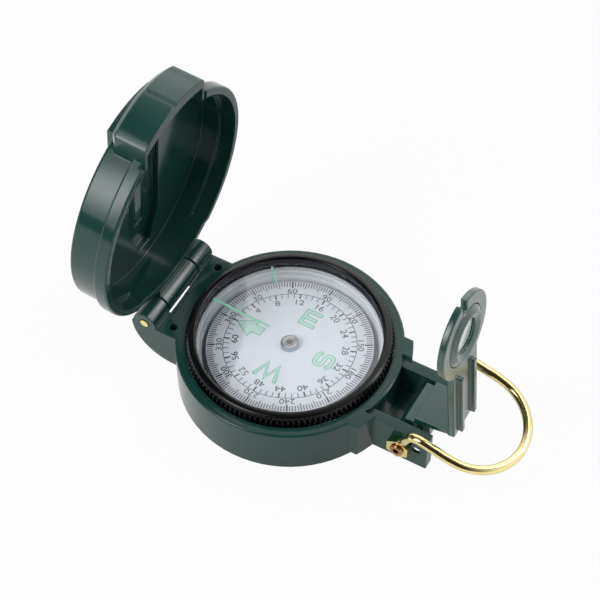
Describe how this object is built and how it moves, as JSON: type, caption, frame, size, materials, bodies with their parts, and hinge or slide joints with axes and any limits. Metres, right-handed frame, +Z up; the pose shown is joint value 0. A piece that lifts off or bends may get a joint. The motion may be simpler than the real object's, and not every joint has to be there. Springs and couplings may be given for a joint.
{
  "type": "lensatic compass",
  "caption": "Folding lensatic compass with a round case, hinged slotted cover, toothed turning bezel, floating dial, fold-up lens sight and wire thumb loop.",
  "frame": {"origin": "centre of the case's flat underside", "axes": "+X from the cover hinge to the rear sight, +Z up out of the dial, +Y to the left when looking along +X"},
  "size_m": [0.1098, 0.06, 0.0845],
  "materials": {
    "green_plastic": "moulded, semi-gloss",
    "black_plastic": "gloss",
    "white_plastic": "satin",
    "clear": "polished clear",
    "luminous": "luminous paint",
    "brass": "polished",
    "steel": "satin",
    "rubber": "matte"
  },
  "bodies": {
    "case": {"case_body": "green_plastic", "hinge_pin": "brass", "capsule_cup": "white_plastic", "capsule_seal": "rubber", "capsule_lid": "clear", "pivot_post": "steel", "bezel_spring": "steel", "axle_tube": "brass"},
    "cover": {"cover": "green_plastic", "sighting_wire": "steel"},
    "rear_sight": {"sight_bracket": "green_plastic", "sight_lens": "clear", "lens_ring": "black_plastic"},
    "thumb_loop": {"thumb_loop": "brass"},
    "bezel": {"bezel_ring": "black_plastic", "crystal": "clear", "bearing_line": "luminous", "bearing_mark": "luminous"},
    "dial": {"dial_card": "white_plastic", "dial_magnet": "steel", "dial_hub": "steel"}
  },
  "joints": [
    {"name": "cover_hinge", "type": "hinge", "parent": "case", "child": "cover", "pos_m": [-0.0337, 0, 0.0151], "axis": [0, -1, 0], "range_deg": [-85.5, 94.5]},
    {"name": "sight_fold", "type": "hinge", "parent": "case", "child": "rear_sight", "pos_m": [0.0362, 0, 0.008], "axis": [0, -1, 0], "range_deg": [-4.48, 85.52]},
    {"name": "loop_swing", "type": "hinge", "parent": "case", "child": "thumb_loop", "pos_m": [0.0362, 0, 0.008], "axis": [0, -1, 0], "range_deg": [-24, 40]},
    {"name": "bezel_turn", "type": "hinge", "parent": "case", "child": "bezel", "pos_m": [0, 0, 0.015], "axis": [0, 0, 1], "continuous": true},
    {"name": "dial_turn", "type": "hinge", "parent": "case", "child": "dial", "pos_m": [0, 0, 0.0115], "axis": [0, 0, 1], "continuous": true}
  ]
}
